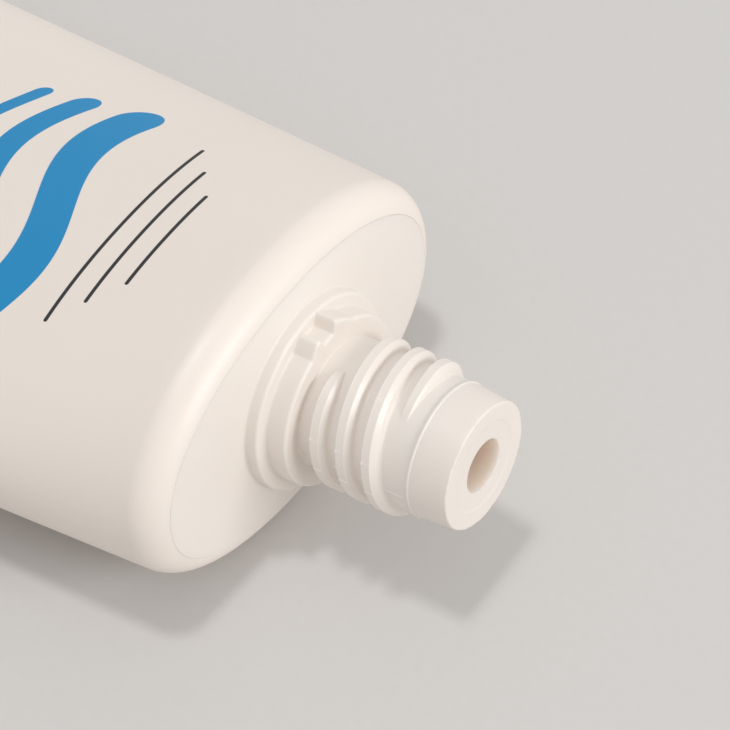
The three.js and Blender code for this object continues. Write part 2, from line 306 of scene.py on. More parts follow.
class TubeStageSettings(bpy.types.PropertyGroup):
    """Floor, lights and camera."""

    floor_size: length("Floor size", "Side of the floor", 6000)
    floor: colour("Floor", "Colour of the floor", (0.64, 0.625, 0.61))
    key: factor("Key", "Light from above", 0.22)
    side: factor("Side", "Soft light in front of the nozzle", 0.42)
    fill: factor("Fill", "Light from all round", 0.61)
    aim: position("Aim", "Point that the camera looks at", (47.676 * MM, 4.668 * MM, 15 * MM))
    azimuth: angle("Azimuth", "Camera's turn round the tube", 33.925)
    elevation: angle("Elevation", "Camera's height over the floor", 52.799)
    distance: length("Distance", "From the camera to its aim", 289.81)
    lens: focal_length("Lens", "Focal length", 157.98)


class TubeSettings(bpy.types.PropertyGroup):
    """All settings of the tube."""

    sleeve: group(TubeSleeveSettings, "Sleeve")
    head: group(TubeHeadSettings, "Head")
    nozzle: group(TubeNozzleSettings, "Nozzle")
    stage: group(TubeStageSettings, "Stage")


def maths(operation, swapped=False):
    """Method of a value that adds a Math node, with its operands swapped if need be."""

    def method(self, *others):
        operands = (*others, self) if swapped else (self, *others)
        sockets = dict(enumerate(operands))
        return self.graph.node("ShaderNodeMath", sockets, operation=operation)

    return method


class Value:
    """A socket of a node tree. Arithmetic on values adds Math nodes."""

    def __init__(self, graph, socket):
        self.graph = graph
        self.socket = socket

    __add__ = maths("ADD")
    __radd__ = maths("ADD", True)
    __sub__ = maths("SUBTRACT")
    __rsub__ = maths("SUBTRACT", True)
    __mul__ = maths("MULTIPLY")
    __rmul__ = maths("MULTIPLY", True)
    __truediv__ = maths("DIVIDE")
    __abs__ = maths("ABSOLUTE")
    at_least = maths("MAXIMUM")
    at_most = maths("MINIMUM")
    sine = maths("SINE")
    cosine = maths("COSINE")
    root = maths("SQRT")

    def within(self, low, high):
        return self.at_least(low).at_most(high)


class Graph:
    """A node tree that is being put together."""

    def __init__(self, tree):
        self.tree = tree
        tree.nodes.clear()

    def node(self, kind, sockets=None, output=0, **settings):
        made = self.tree.nodes.new(kind)
        for key, value in settings.items():
            setattr(made, key, value)
        for key, value in (sockets or {}).items():
            if isinstance(value, Value):
                self.tree.links.new(value.socket, made.inputs[key])
            else:
                made.inputs[key].default_value = value
        if output is None:
            return made
        return Value(self, made.outputs[output])

    def noise(self, scale, detail):
        place = self.node("ShaderNodeTexCoord", output="Object")
        sockets = {"Vector": place, "Scale": scale, "Detail": detail}
        return self.node("ShaderNodeTexNoise", sockets)

    def blend(self, share, first, second):
        sockets = {0: share, 6: first, 7: second}
        return self.node("ShaderNodeMix", sockets, 2, data_type="RGBA")


def opaque(tone):
    return (*tone, 1.0)


def deeper(tone, share):
    """The same colour, a little darker and warmer."""
    return tuple(part * (1 - share * step) for part, step in zip(tone, WARMTH))


def new_material(name):
    material = bpy.data.materials.new(name)
    material.use_nodes = True
    return material, Graph(material.node_tree)


# How a plastic looks apart from its colour: its sheen, inner glow and surface relief.
Finish = namedtuple("Finish", "roughness glow glow_depth bumps")

SLEEVE_FINISH = Finish(0.4, 0.12, 1.2 * MM, 0.6)
WELD_FINISH = Finish(0.42, 0.1, 1.2 * MM, 0.4)
HEAD_FINISH = Finish(0.36, 0.2, 1.2 * MM, 0.5)
INSERT_FINISH = Finish(0.38, 0.2, 1.2 * MM, 0.5)
ORIFICE_FINISH = Finish(0.45, 1.0, 4 * MM, 0.3)


def plastic_surface(graph, tone, finish):
    """Satin plastic: clouds in its colour, uneven sheen, a fine grain and a slight ripple."""
    cloud, grain, marks = (graph.noise(*noise) for noise in (CLOUDS, GRAIN, MARKS))
    base = graph.blend(cloud, opaque(deeper(tone, CLOUD_DEPTH)), opaque(tone))
    uneven = marks - NOISE_MIDDLE + (grain - NOISE_MIDDLE)
    sheen = finish.roughness + ROUGHNESS_SPREAD * uneven
    normal = {}
    for distance, height in ((RIPPLE_DISTANCE, cloud), (GRAIN_DISTANCE, grain)):
        relief = {"Strength": finish.bumps, "Distance": distance, "Height": height, **normal}
        normal = {"Normal": graph.node("ShaderNodeBump", relief)}
    sockets = {
        "Roughness": sheen,
        "Subsurface Weight": finish.glow,
        "Subsurface Radius": GLOW_COLOUR,
        "Subsurface Scale": finish.glow_depth,
        **normal,
    }
    return base, sockets


def close_surface(graph, base, sockets):
    shader = graph.node("ShaderNodeBsdfPrincipled", {"Base Color": base, **sockets})
    graph.node("ShaderNodeOutputMaterial", {"Surface": shader}, None)


def moulded_plastic(name, tone, finish):
    material, graph = new_material(name)
    base, sockets = plastic_surface(graph, tone, finish)
    close_surface(graph, base, sockets)
    return material


def stroke(distance, half_width):
    return ((half_width + PRINT_EDGE / 2 - distance) / PRINT_EDGE).within(0.0, 1.0)


def bar(across, along, reach, half_width):
    """Mask of a straight bar with round ends, through the middle of its own place."""
    past = (abs(across) - reach).at_least(0.0)
    return stroke((past * past + along * along).root(), half_width)


def printed_plastic(name, sleeve, finish):
    """The sleeve's plastic with its print: blue waves across the crown and thin dark rules."""
    material, graph = new_material(name)
    base, sockets = plastic_surface(graph, sleeve.plastic, finish)
    wrap = graph.node("ShaderNodeAttribute", output="Vector", attribute_name="wrap")
    split = graph.node("ShaderNodeSeparateXYZ", {0: wrap}, None)
    across = Value(graph, split.outputs[0]) * PRINT_UNIT
    back = Value(graph, split.outputs[1]) * PRINT_UNIT
    upper = Value(graph, split.outputs[2])
    waves = []
    for place, half_width, phase in WAVES:
        swell = (across * (FULL_TURN / WAVE_LENGTH) + phase).sine() * WAVE_HEIGHT
        waves.append(bar(across, back - place - swell, WAVE_SPAN, half_width))
    rules = [bar(across, back - place, reach, half) for place, reach, half in RULES]
    waves = reduce(Value.at_least, waves) * upper
    rules = reduce(Value.at_least, rules) * upper
    base = graph.blend(waves, base, opaque(sleeve.print_bright))
    base = graph.blend(rules, base, opaque(sleeve.print_dark))
    sockets["Roughness"] = sockets["Roughness"] - PRINT_GLOSS * waves.at_least(rules)
    close_surface(graph, base, sockets)
    return material


def tube_place():
    """Turns the tube's own axes into the frame's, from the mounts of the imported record."""
    mounts = {mount["name"]: mount for mount in frame["record"]["mounts"]}
    along = Vector(mounts["cap_seat"]["axis"]).normalized()
    across = Vector((0, 1, 0))
    through = along.cross(across)
    seat = Vector(mounts["cap_seat"]["pos_m"])
    seat.y = 0
    start = seat - along * Places().collar_front
    turn = Matrix((along, across, through)).transposed().to_4x4()
    return Matrix.Translation(start) @ turn


class Places:
    """Places along the tube's own X axis that its pieces share."""

    def __init__(self):
        tube = bpy.context.scene.cosmetic_tube
        sleeve, head, nozzle = tube.sleeve, tube.head, tube.nozzle
        self.lip_angle = math.acos(1 - sleeve.lip_inset / sleeve.edge_round)
        self.seam = -head.face_rise
        self.wall_start = self.seam - sleeve.edge_round * math.sin(self.lip_angle)
        self.seal_start = self.seam - sleeve.body_length
        self.tail = self.seal_start - sleeve.seal_length
        self.collar = head.flange_height
        self.collar_front = self.collar + head.collar_height
        self.nozzle_base = self.collar_front + head.neck_length + nozzle.seat_gap
        self.tip = self.nozzle_base + nozzle.stub_length


def blend(first, second, share):
    return first + (second - first) * share


def clamp(value, low=0.0, high=1.0):
    return max(low, min(high, value))


def signed_power(value, power):
    return math.copysign(abs(value) ** power, value)


def oval_girth(a, b):
    """Girth of an ellipse with these half axes, by the usual close approximation."""
    return math.pi * (3 * (a + b) - math.sqrt((3 * a + b) * (a + 3 * b)))


class SleeveForm:
    """The sleeve's outside: an oval that is pressed flat towards the tail without stretching."""

    def __init__(self, places):
        self.sleeve = bpy.context.scene.cosmetic_tube.sleeve
        self.places = places
        self.girth = oval_girth(self.sleeve.width / 2, self.sleeve.thickness / 2)
        self.known = {}

    def half_width(self, half_thickness):
        low, high = half_thickness, self.girth / 4
        for _ in range(HALVINGS):
            middle = (low + high) / 2
            if oval_girth(middle, half_thickness) < self.girth:
                low = middle
            else:
                high = middle
        return (low + high) / 2

    def section(self, x):
        if x not in self.known:
            places = self.places
            run = places.wall_start - places.seal_start
            share = clamp((places.wall_start - x) / run)
            half_thickness = blend(self.sleeve.thickness / 2, self.sleeve.wall, share)
            self.known[x] = (self.half_width(half_thickness), half_thickness, share)
        return self.known[x]

    def point(self, x, inset, turn):
        half_width, half_thickness, share = self.section(x)
        power = 2 / self.sleeve.fullness
        y = signed_power(math.cos(turn), power)
        round_z = signed_power(math.sin(turn), power)
        flat_z = clamp(SEAL_EDGE_SLOPE * math.sin(turn), -1)
        z = blend(round_z, flat_z, share**SEAL_BLEND_POWER)
        return Vector((x, (half_width - inset) * y, (half_thickness - inset) * z))

    def edge_point(self, depth, tilt, turn):
        """Point on the rounded shoulder edge, depth below the skin and tilted from the wall."""
        size = self.sleeve.edge_round
        radius = size - depth
        x = self.places.wall_start + radius * math.sin(tilt)
        return self.point(x, size - radius * math.cos(tilt), turn)

    def row(self, x, inset=0.0):
        return lambda turn: self.point(x, inset, turn)

    def rows(self, start, end, count, inset=0.0):
        """Rows along the wall, from just past start up to end."""
        return [self.row(blend(start, end, share), inset) for share in steps(count)[1:]]

    def edge_row(self, depth, tilt):
        return lambda turn: self.edge_point(depth, tilt, turn)


def ring(x, radius, turn):
    return Vector((x, radius * math.cos(turn), radius * math.sin(turn)))


def ring_rows(outline):
    return [lambda turn, at=at: ring(at.x, at.y, turn) for at in outline]


def steps(count):
    return [i / count for i in range(count + 1)]


def even_turns(count):
    return [FULL_TURN * j / count for j in range(count)]


def rounded(*corners, closed=False):
    """Outline through corners of (x, radius, round), each corner turned into an arc."""
    outline = []
    for i, (x, radius, size) in enumerate(corners):
        here = Vector((x, radius))
        at_end = not closed and i in (0, len(corners) - 1)
        if at_end or not size:
            outline.append(here)
            continue
        before = (Vector(corners[i - 1][:2]) - here).normalized()
        after = (Vector(corners[(i + 1) % len(corners)][:2]) - here).normalized()
        half = before.angle(after) / 2
        reach = size / math.tan(half)
        start, end = here + before * reach, here + after * reach
        middle = here + (before + after).normalized() * size / math.sin(half)
        first = math.atan2(start.y - middle.y, start.x - middle.x)
        last = math.atan2(end.y - middle.y, end.x - middle.x)
        sweep = math.remainder(last - first, FULL_TURN)
        outline.append(start + before * ROUND_SUPPORT)
        for share in steps(ROUND_STEPS):
            spoke = first + sweep * share
            outline.append(middle + Vector((math.cos(spoke), math.sin(spoke))) * size)
        outline.append(end + after * ROUND_SUPPORT)
    return outline


def strips(rows, columns, wrap, loop):
    """Faces between the rows of a grid, closed around by wrap and end to end by loop."""
    faces = []
    for i in range(rows if loop else rows - 1):
        near = i * columns
        far = (i + 1) % rows * columns
        for j in range(columns if wrap else columns - 1):
            k = (j + 1) % columns
            faces.append((near + j, near + k, far + k, far + j))
    return faces


def flat_cap(first, columns):
    """Faces that close a flattened ring from side to side."""
    faces = []
    for j in range(columns // 2):
        corners = (j, j + 1, columns - j - 1, (columns - j) % columns)
        faces.append([first + corner for corner in dict.fromkeys(corners)])
    return faces


def tidy_mesh(mesh):
    """Joins points that coincide and turns all faces outwards."""
    shape = bmesh.new()
    shape.from_mesh(mesh)
    bmesh.ops.remove_doubles(shape, verts=shape.verts, dist=MERGE_DISTANCE)
    bmesh.ops.dissolve_degenerate(shape, edges=shape.edges, dist=MERGE_DISTANCE)
    bmesh.ops.recalc_face_normals(shape, faces=shape.faces)
    for face in shape.faces:
        face.smooth = True
    shape.to_mesh(mesh)
    shape.free()


def new_object(name, points, faces):
    mesh = bpy.data.meshes.new(name)
    mesh.from_pydata(points, [], faces)
    piece = bpy.data.objects.new(name, mesh)
    bpy.context.scene.collection.objects.link(piece)
    return piece


def new_skin(name, rows, wrap, loop):
    """Piece from rows of points: see strips. Rows that aren't a loop end in flat caps."""
    points = [point for row in rows for point in row]
    columns = len(rows[0])
    faces = strips(len(rows), columns, wrap, loop)
    if not loop:
        faces += flat_cap(0, columns) + flat_cap(len(points) - columns, columns)
    return new_object(name, points, faces)


def add_attribute(piece, name, kind, values):
    layer = piece.data.attributes.new(name, kind, "POINT")
    field = "vector" if kind == "FLOAT_VECTOR" else "value"
    layer.data.foreach_set(field, values)


def hand_over(piece, slot, *nodes):
    """Lays the piece in the frame, checks that it is closed and lets it stand for its nodes."""
    piece.data.transform(tube_place())
    shape = bmesh.new()
    shape.from_mesh(piece.data)
    open_edges = sum(1 for edge in shape.edges if len(edge.link_faces) != 2)
    shape.free()
    if open_edges:
        raise RuntimeError(f"{piece.name} has {open_edges} open edges")
    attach(piece, BODY)
    if nodes:
        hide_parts(*nodes)


# Kinds of a geometry tree's inputs, by the values that go into them.
SOCKETS = {
    int: "NodeSocketInt",
    float: "NodeSocketFloat",
    tuple: "NodeSocketVector",
    bpy.types.Material: "NodeSocketMaterial",
}


def grow(piece, name, values, build):
    """Runs a geometry tree with these inputs on a piece, which keeps the plain mesh it makes."""
    tree = bpy.data.node_groups.new(name, "GeometryNodeTree")
    graph = Graph(tree)
    for way in ("INPUT", "OUTPUT"):
        tree.interface.new_socket("Geometry", in_out=way, socket_type="NodeSocketGeometry")
    inputs = {}
    for key, value in values.items():
        kind = SOCKETS[type(value)]
        inputs[key] = tree.interface.new_socket(key, in_out="INPUT", socket_type=kind)
    entry = graph.node("NodeGroupInput", output=None)
    given = {key: Value(graph, entry.outputs[key]) for key in ("Geometry", *values)}
    smooth = graph.node("GeometryNodeSetShadeSmooth", {0: build(graph, given)})
    real = graph.node("GeometryNodeRealizeInstances", {0: smooth})
    coat = {"Geometry": real, "Material": given["Material"]}
    coated = graph.node("GeometryNodeSetMaterial", coat)
    graph.node("NodeGroupOutput", {"Geometry": coated}, None)
    modifier = piece.modifiers.new(name, "NODES")
    modifier.node_group = tree
    for key, value in values.items():
        modifier[inputs[key].identifier] = value
    depsgraph = bpy.context.evaluated_depsgraph_get()
    made = bpy.data.meshes.new_from_object(piece.evaluated_get(depsgraph))
    piece.modifiers.remove(modifier)
    made.name = piece.name
    piece.data = made


def sleeve_outside(sleeve, places, form):
    """Rows of the skin from the cut edge of the weld up to the lip."""
    rows = []
    edge = sleeve.seal_edge
    for share in steps(ROUND_STEPS):
        tilt = QUARTER_TURN * (1 - share)
        x = places.tail + edge * (1 - math.sin(tilt))
        inset = edge * (1 - math.cos(tilt))
        rows.append(form.row(x, inset))
    rows += form.rows(places.tail + edge, places.seal_start, SEAL_ROWS)
    rows += form.rows(places.seal_start, places.wall_start, SLEEVE_ROWS)
    end = places.lip_angle - sleeve.lip_round / sleeve.edge_round
    rows += [form.edge_row(0, end * share) for share in steps(SHOULDER_ROWS)[1:]]
    for share in steps(ROUND_STEPS)[1:]:
        depth = sleeve.lip_round * (1 - math.cos(QUARTER_TURN * share))
        tilt = blend(end, places.lip_angle, math.sin(QUARTER_TURN * share))
        rows.append(form.edge_row(depth, tilt))
    return rows


def sleeve_inside(sleeve, places, form):
    """Rows of the inner wall, from the lip back to where the weld closes it."""
    wall, lip = sleeve.wall, places.lip_angle
    rows = [form.edge_row(wall, lip * (1 - share)) for share in steps(INNER_SHOULDER_ROWS)]
    closing = 1 - CAVITY_END / (sleeve.thickness / 2 - wall)
    end = blend(places.wall_start, places.seal_start, closing)
    return rows + form.rows(places.wall_start, end, INSIDE_ROWS, wall)


def print_places(rows, outer_count, places, turns):
    """Where each point lies on the printed sheet: across the crown, back, and upper side."""
    values = []
    crown = len(turns) // 4
    for i, row in enumerate(rows):
        reach = [0.0] * len(row)
        for side in (-1, 1):
            here = crown
            for _ in range(len(row) // 2):
                last, here = here, (here + side) % len(row)
                reach[here] = reach[last] - side * (row[here] - row[last]).length
        for j, turn in enumerate(turns):
            upper = float(i < outer_count and math.sin(turn) > UPPER_SIDE)
            values += (reach[j], places.seam - row[j].x, upper)
    return values


class TUBE_OT_sleeve(bpy.types.Operator):
    """Make the soft sleeve, from the weld at its tail to the lip round the head"""

    bl_idname = "tube.sleeve"
    bl_label = "Sleeve"

    def execute(self, context):
        sleeve = context.scene.cosmetic_tube.sleeve
        places = Places()
        form = SleeveForm(places)
        turns = even_turns(SLEEVE_COLUMNS)
        outside = sleeve_outside(sleeve, places, form)
        inside = sleeve_inside(sleeve, places, form)
        rows = [[place(turn) for turn in turns] for place in outside + inside]
        piece = new_skin("tube_sleeve_skin", rows, wrap=True, loop=False)
        wrap = print_places(rows, len(outside), places, turns)
        add_attribute(piece, "wrap", "FLOAT_VECTOR", wrap)
        tidy_mesh(piece.data)
        piece.data.materials.append(printed_plastic("sleeve_satin", sleeve, SLEEVE_FINISH))
        hand_over(piece, "sleeve_plastic", "tube_sleeve")
        return {"FINISHED"}


def press_ribs(graph, given):
    """Tree that sets a row of long grains across the weld."""
    row = {"Count": given["Count"], "Start Location": given["First"], "Offset": given["Step"]}
    line = graph.node("GeometryNodeMeshLine", row, mode="OFFSET")
    shape = {"Segments": RIB_SEGMENTS, "Rings": RIB_RINGS}
    grain = graph.node("GeometryNodeMeshUVSphere", shape)
    copies = {"Points": line, "Instance": grain, "Scale": given["Half size"]}
    return graph.node("GeometryNodeInstanceOnPoints", copies)


class TUBE_OT_seal_ribs(bpy.types.Operator):
    """Make the fine ribs that the welding jaws press into the tail"""

    bl_idname = "tube.seal_ribs"
    bl_label = "Seal ribs"

    def execute(self, context):
        sleeve = context.scene.cosmetic_tube.sleeve
        places = Places()
        middle = (places.tail + places.seal_start) / 2
        values = {
            "Count": sleeve.rib_count,
            "First": (middle, -(sleeve.rib_count - 1) / 2 * sleeve.rib_pitch, 0.0),
            "Step": (0.0, sleeve.rib_pitch, 0.0),
            "Half size": (
                RIB_LENGTH_SHARE * sleeve.seal_length / 2,
                RIB_WIDTH_SHARE * sleeve.rib_pitch,
                sleeve.wall + RIB_HEIGHT,
            ),
            "Material": moulded_plastic("weld_satin", sleeve.plastic, WELD_FINISH),
        }
        piece = new_object("seal_ribs", [], [])
        grow(piece, "seal_ribs", values, press_ribs)
        hand_over(piece, "sleeve_plastic")
        return {"FINISHED"}


def head_columns(head):
    """Turns from the thread's start, closer together over the lugs and the mould lines."""
    start = math.degrees(head.thread_start)
    full = math.degrees(FULL_TURN)
    turns = {0.0, full}
    around = int(full / HEAD_COLUMN_DEGREES)
    turns.update(round(i * HEAD_COLUMN_DEGREES, TURN_DIGITS) for i in range(around))
    first = math.degrees(head.stop_end - head.stop_fall) - 2 * HEAD_COLUMN_DEGREES
    last = math.degrees(head.ramp_foot) + 2 * HEAD_COLUMN_DEGREES
    lug_count = int((last - first) / LUG_COLUMN_DEGREES)
    fine = [first + i * LUG_COLUMN_DEGREES for i in range(lug_count + 1)]
    line_count = int(math.degrees(head.line_turn) / LINE_COLUMN_DEGREES) + 1
    for middle in map(math.degrees, (LINE_TURN, LINE_TURN + math.pi, NICK_TURN, TICK_TURN)):
        fine += [middle + i * LINE_COLUMN_DEGREES for i in range(-line_count, line_count + 1)]
    turns.update(round((turn - start) % full, TURN_DIGITS) for turn in fine)
    return [math.radians(turn) for turn in sorted(turns)]


def cup_rows(head, sleeve, places, form):
    """Rows from the bore under the plate, round the skirt and up to the seam and the face."""
    depth = sleeve.wall + head.seam_gap / 2
    inner = depth + head.skirt_wall
    floor = places.seam - head.plate_floor
    skirt_end = places.wall_start - head.skirt_length
    bore = head.neck_diameter / 2 - head.neck_wall
    edge = sleeve.lip_inset + head.seam_gap
    soft = sleeve.lip_round
    rim = form.row(places.seam, edge + soft)
    foot = head.flange_diameter / 2 + head.root_round
    rows = [
        lambda turn: ring(floor, bore, turn),
        form.row(floor, inner + sleeve.lip_inset),
        form.row(places.wall_start, inner),
        form.row(skirt_end, inner),
        form.row(skirt_end, depth),
    ]
    lip = places.lip_angle
    rows += [form.edge_row(depth, lip * share) for share in steps(INNER_SHOULDER_ROWS)]
    for share in steps(ROUND_STEPS):
        tilt = QUARTER_TURN * share
        x = places.seam - soft * (1 - math.sin(tilt))
        inset = edge + soft * (1 - math.cos(tilt))
        rows.append(form.row(x, inset))
    for share in FACE_SHARES:
        rows.append(lambda turn, share=share: rim(turn).lerp(ring(0, foot, turn), share))
    return rows


def collar_rows(head, places):
    """Rows up the flange and the collar, which swells out over its two lugs."""
    flange = head.flange_diameter / 2
    collar = head.collar_diameter / 2
    neck = head.neck_diameter / 2
    edge, root = head.edge_round, head.root_round
    flange_outline = rounded(
        (0, flange + 2 * root, 0),
        (0, flange, root),
        (places.collar, flange, edge),
        (places.collar, flange - 2 * edge, 0),
    )[1:-1]
    collar_outline = rounded(
        (places.collar, flange - edge, 0),
        (places.collar, collar, root),
        (places.collar_front, collar, edge),
        (places.collar_front, collar - 2 * edge, 0),
    )[1:-1]
    neck_outline = rounded(
        (places.collar_front, collar - edge, 0),
        (places.collar_front, neck, root),
        (places.collar_front + 2 * root, neck, 0),
    )[1:-1]
    rows = [lambda turn, at=at: flange_point(head, places, at, turn) for at in flange_outline]
    rows += [lambda turn, at=at: lug_point(head, at, turn) for at in collar_outline]
    return rows + ring_rows(neck_outline)


def foot_radius(head, turn):
    """Radius of the collar's foot, which a lug takes out onto the flange's rounded edge."""
    wall = head.collar_diameter / 2 + lug_height(head, turn)
    flat = head.flange_diameter / 2 - head.edge_round - 2 * ROUND_SUPPORT
    return min(wall + head.root_round, max(flat, wall))


def flange_point(head, places, at, turn):
    """Point on the flange; under a lug its rows stop where the lug's face meets them."""
    foot = foot_radius(head, turn)
    edge = head.edge_round
    past = foot - (head.flange_diameter / 2 - edge)
    if past <= 0 or at.y >= foot or at.x < places.collar - edge:
        return ring(at.x, at.y, turn)
    return ring(places.collar - edge + math.sqrt(edge**2 - past**2), foot, turn)


def lug_point(head, at, turn):
    """Point on the collar with the lugs on it."""
    radius = at.y + lug_height(head, turn)
    return ring(at.x, min(radius, foot_radius(head, turn)), turn)


def lug_height(head, turn):
    """Height of the ramp and the stop over the collar, with softened corners."""
    knots = (
        (head.stop_end - head.stop_fall, 0),
        (head.stop_end, head.stop_height),
        (head.stop_top, head.stop_height),
        (head.stop_foot, 0),
        (head.ramp_end - head.ramp_drop, 0),
        (head.ramp_end, head.ramp_height),
        (head.ramp_top, head.ramp_height),
        (head.ramp_foot, 0),
    )
    total = 0.0
    shares = steps(2 * ROUND_STEPS)
    for share in shares:
        here = (turn + head.lug_round * (2 * share - 1)) % FULL_TURN
        for (low, low_height), (high, high_height) in zip(knots, knots[1:]):
            if low <= here <= high:
                total += blend(low_height, high_height, (here - low) / (high - low))
                break
    return total / len(shares)


def thread_section(head):
    """The ridge's section, as rows of (strip, offset along X, share of its height)."""
    rear, crest, front = head.thread_rear, head.thread_crest, head.thread_front
    high = head.thread_height
    top = rear + crest
    outline = rounded(
        (-rear, 0, 0),
        (0, 0, RIDGE_FOOT_ROUND),
        (rear, high + RIDGE_LIP, RIDGE_REAR_ROUND),
        (rear + NICK_LENGTH, high, 0),
        (top, high, RIDGE_FRONT_ROUND),
        (top + RIDGE_SLOPE_SHARE * front, RIDGE_SLOPE_HEIGHT * high, RIDGE_SLOPE_ROUND),
        (top + front, 0, RIDGE_HOLLOW_ROUND),
        (top + front + RIDGE_HOLLOW_ROUND, 0, 0),
    )
    turns = (head.neck_length - head.thread_clear) / head.thread_pitch
    strips_on_neck = range(-head.thread_starts - 1, math.ceil(turns))
    return [(strip, at.x, at.y / high) for strip in strips_on_neck for at in outline]


def mouth_rows(head, places):
    """Rows over the rim of the mouth and down the bore."""
    neck = head.neck_diameter / 2
    bore = neck - head.neck_wall
    rim = MOUTH_ROUND
    mouth = places.nozzle_base - MOUTH_LINE
    outline = rounded(
        (mouth - 2 * rim, neck, 0),
        (mouth, neck, rim),
        (mouth, bore, rim),
        (mouth - 2 * rim, bore, 0),
    )
    return ring_rows(outline)


def line_share(head, turn):
    """Share of the mould line's height at a turn; the line runs along both sides."""
    away = abs((turn - LINE_TURN + QUARTER_TURN) % math.pi - QUARTER_TURN)
    return max(0.0, 1 - away / head.line_turn)


def mould_flaw(head, number, along, high, turn):
    """Extra height of the mould's nicks and tick, as a share of the ridge's height."""
    if high < RIDGE_SLOPE_HEIGHT or along > head.thread_rear + NICK_LENGTH / 2:
        return 0.0
    size = NICK_SIZE * max(0.0, 1 - abs(turn - NICK_TURN) / NICK_SPREAD)
    if number == TICK_STRIP:
        size += max(0.0, 1 - abs(turn - TICK_TURN) / head.line_turn)
    return size * head.line_height / head.thread_height


def mark_thread(piece, head, columns, turns, before, thread, after):
    """Notes on each point what the thread's tree needs: its turn, its place in the ridge."""
    width = len(columns)
    plain, tail = [0.0] * (before * width), [0.0] * (after * width)
    top = head.thread_rear + head.thread_crest
    names = ("turn", "offset", "run", "rise", "around", "line", "slope", "on_thread")
    marks = {name: [] for name in names}
    for number, along, high in thread:
        slope = LEVEL_SHARE < high < 1 - LEVEL_SHARE
        marks["turn"] += [turn + FULL_TURN * number / head.thread_starts for turn in columns]
        marks["offset"] += [min(along, top)] * width
        marks["run"] += [max(0.0, along - top)] * width
        marks["rise"] += [high + mould_flaw(head, number, along, high, turn) for turn in turns]
        marks["around"] += turns
        marks["line"] += [line_share(head, turn) for turn in turns]
        marks["slope"] += [float(slope)] * width
        marks["on_thread"] += [1.0] * width
    for name, values in marks.items():
        add_attribute(piece, name, "FLOAT", plain + values + tail)


def cut_thread(piece, head, places, material):
    """Winds the marked rows into the ridges."""
    width = head.thread_rear + head.thread_crest + head.thread_front
    travel = head.neck_length - head.thread_clear - width - head.thread_land
    lead = head.thread_pitch * head.thread_starts
    first = places.collar_front
    values = {
        "Neck radius": head.neck_diameter / 2,
        "Height": head.thread_height,
        "Lead": lead,
        "Start": first + head.thread_clear,
        "Start run-out": head.start_runout,
        "End run-out": head.end_runout,
        "Sweep": travel / lead * FULL_TURN + head.end_runout,
        "Start shift": head.start_shift,
        "End shift": head.end_shift,
        "Level turn": head.level_turn,
        "Run-out width": head.runout_width,
        "First": first + head.root_round + ROUND_SUPPORT,
        "Last": places.nozzle_base - MOUTH_LINE - 2 * MOUTH_ROUND,
        "Line height": head.line_height,
        "Material": material,
    }
    grow(piece, "cap_thread", values, wind_thread)


def wind_thread(graph, given):
    """Tree that moves each marked point to its place on the ridges."""

    def mark(name):
        return graph.node("GeometryNodeInputNamedAttribute", {"Name": name}, data_type="FLOAT")

    turn, around = mark("turn"), mark("around")
    left = given["Sweep"] - turn
    start = (turn / given["Start run-out"]).within(0.0, 1.0)
    end = (left / given["End run-out"]).within(0.0, 1.0)
    size = (start * (2 - start)).at_most(end)
    narrow = given["Run-out width"]
    width = narrow + (1 - narrow) * size
    x = given["Start"] + turn * given["Lead"] / FULL_TURN
    level = given["Level turn"]
    at_start = (1 - abs(turn) / level).at_least(0.0)
    at_end = (1 - abs(left) / level).at_least(0.0)
    x = x + given["Start shift"] * at_start * at_start - given["End shift"] * at_end * at_end
    x = x + mark("offset") * width + mark("run") * size
    x = x.within(given["First"], given["Last"])
    radius = given["Neck radius"] + mark("rise") * size * given["Height"]
    radius = radius + mark("line") * (1 - mark("slope") * size) * given["Line height"]
    parts = {0: x, 1: radius * around.cosine(), 2: radius * around.sine()}
    place = graph.node("ShaderNodeCombineXYZ", parts)
    moved = {"Geometry": given["Geometry"], "Selection": mark("on_thread"), "Position": place}
    return graph.node("GeometryNodeSetPosition", moved)


class TUBE_OT_head(bpy.types.Operator):
    """Make the moulded head: shoulder plate, flange, collar with its lugs, and threaded neck"""

    bl_idname = "tube.head"
    bl_label = "Head"

    def execute(self, context):
        head = context.scene.cosmetic_tube.head
        sleeve = context.scene.cosmetic_tube.sleeve
        places = Places()
        form = SleeveForm(places)
        columns = head_columns(head)
        turns = [head.thread_start + turn for turn in columns]
        before = cup_rows(head, sleeve, places, form) + collar_rows(head, places)
        thread = thread_section(head)
        after = mouth_rows(head, places)
        unwound = [lambda turn: ring(places.collar, head.neck_diameter, turn)] * len(thread)
        rows = [[row(turn) for turn in turns] for row in before + unwound + after]
        piece = new_skin("shoulder_head_skin", rows, wrap=False, loop=True)
        mark_thread(piece, head, columns, turns, len(before), thread, len(after))
        material = moulded_plastic("head_satin", head.plastic, HEAD_FINISH)
        cut_thread(piece, head, places, material)
        tidy_mesh(piece.data)
        hand_over(piece, "head_plastic", "shoulder_head")
        return {"FINISHED"}


def mark_orifice(piece, nozzle):
    """Gives the wall of the orifice the second material, through which more light comes; its
    brighter, warmer colour is painted light in the hole.
    """
    reach = nozzle.orifice_diameter / 2 + nozzle.orifice_round / 2
    for face in piece.data.polygons:
        middle = face.center
        face.material_index = int(math.hypot(middle.y, middle.z) < reach)


def tip_wear(turn):
    """Share of the tip's wear at one turn, from 0 to 1."""
    waves = [math.sin(count * turn + phase) for count, phase in WEAR_WAVES]
    return clamp(WEAR_MIDDLE + sum(waves) / len(waves))


